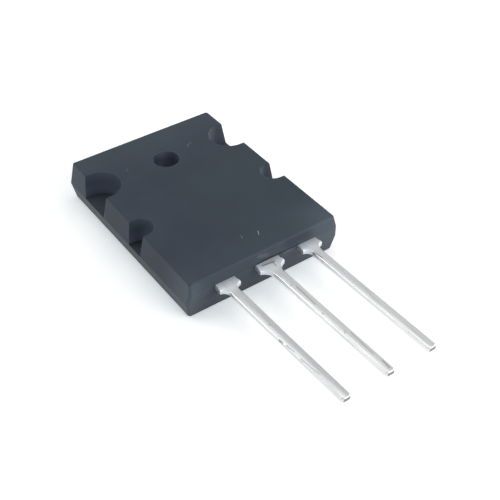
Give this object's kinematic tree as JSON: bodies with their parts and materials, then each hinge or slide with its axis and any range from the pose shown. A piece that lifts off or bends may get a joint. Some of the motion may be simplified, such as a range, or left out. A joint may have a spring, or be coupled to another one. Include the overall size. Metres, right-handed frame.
{
  "type": "npn power transistor",
  "caption": "Large flat moulded power transistor: screw hole, notched sides, exposed heat spreader at the back, base, collector and emitter leads in a row.",
  "frame": {"origin": "where the axis of the mounting hole meets the seating plane (the exposed back of the heat spreader)", "axes": "+Z along the mounting hole, out of the marking face; +Y towards the end with the hole; the leads run along -Y; +X to the emitter lead"},
  "size_m": [0.02, 0.046, 0.005],
  "materials": {
    "moulding": "moulded epoxy, fine satin",
    "tinned_copper": "solder-dipped, slightly wavy",
    "silicon": "polished, metallised top",
    "solder": "dull",
    "bond_wire": "bright drawn"
  },
  "bodies": {
    "root": {"moulded_body": "moulding", "collector_frame": "tinned_copper", "base_lead": "tinned_copper", "emitter_lead": "tinned_copper", "transistor_chip": "silicon", "chip_solder": "solder", "base_bond_wire": "bond_wire", "emitter_bond_wire_inner": "bond_wire", "emitter_bond_wire_outer": "bond_wire"}
  },
  "joints": []
}
